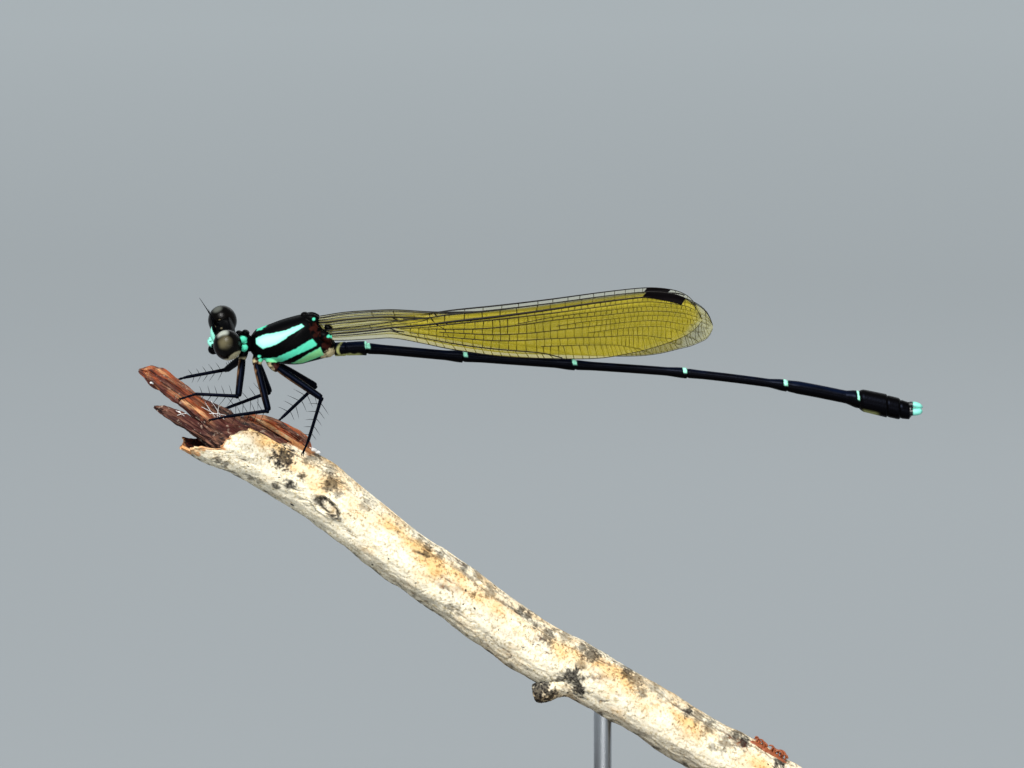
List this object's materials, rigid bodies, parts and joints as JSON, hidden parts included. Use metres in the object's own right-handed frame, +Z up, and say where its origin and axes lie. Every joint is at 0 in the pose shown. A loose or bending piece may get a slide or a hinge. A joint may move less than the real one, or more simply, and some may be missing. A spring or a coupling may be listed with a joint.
{
  "type": "damselfly",
  "caption": "Life-size still model of a slender male damselfly with folded amber wings and bristly legs, clinging to a broken twig on a small display stand.",
  "frame": {"origin": "centre of the underside of the stand's base", "axes": "+Z up, the insect's head towards -X, its left side towards -Y, its tail and the sawn end of the twig towards +X"},
  "size_m": [0.041, 0.025, 0.03],
  "materials": {
    "chitin_black": "black insect shell with a soft waxy gloss",
    "eye_cuticle": "dark brown to black, glossy, very finely faceted",
    "chitin_striped": "black shell with turquoise stripes and a soft gloss",
    "wing_membrane": "clear amber membrane with dark brown veins",
    "leg_chitin": "blue-black, glossy, with black bristles",
    "twig_bark": "pale weathered bark with dark spots, torn to red-brown wood at its end",
    "base_wood": "dark oiled hardwood",
    "rod_steel": "fine brushed stainless steel"
  },
  "bodies": {
    "root": {"head": "chitin_black", "eye_left": "eye_cuticle", "eye_right": "eye_cuticle", "antenna_left": "chitin_black", "antenna_right": "chitin_black", "prothorax": "chitin_black", "synthorax": "chitin_striped", "abdomen_s1_s2": "chitin_black", "abdomen_s3": "chitin_black", "abdomen_s4": "chitin_black", "abdomen_s5": "chitin_black", "abdomen_s6": "chitin_black", "abdomen_s7": "chitin_black", "abdomen_s8": "chitin_black", "abdomen_s9_s10": "chitin_black", "anal_appendages": "chitin_striped", "forewing_left": "wing_membrane", "forewing_right": "wing_membrane", "hindwing_left": "wing_membrane", "hindwing_right": "wing_membrane", "fore_leg_left_femur": "leg_chitin", "fore_leg_left_tibia": "leg_chitin", "fore_leg_right_femur": "leg_chitin", "fore_leg_right_tibia": "leg_chitin", "mid_leg_left_femur": "leg_chitin", "mid_leg_left_tibia": "leg_chitin", "mid_leg_right_femur": "leg_chitin", "mid_leg_right_tibia": "leg_chitin", "hind_leg_left_femur": "leg_chitin", "hind_leg_left_tibia": "leg_chitin", "hind_leg_right_femur": "leg_chitin", "hind_leg_right_tibia": "leg_chitin", "perch_twig": "twig_bark", "stand_base": "base_wood", "stand_rod_middle": "rod_steel", "stand_rod_end": "rod_steel"}
  },
  "joints": []
}
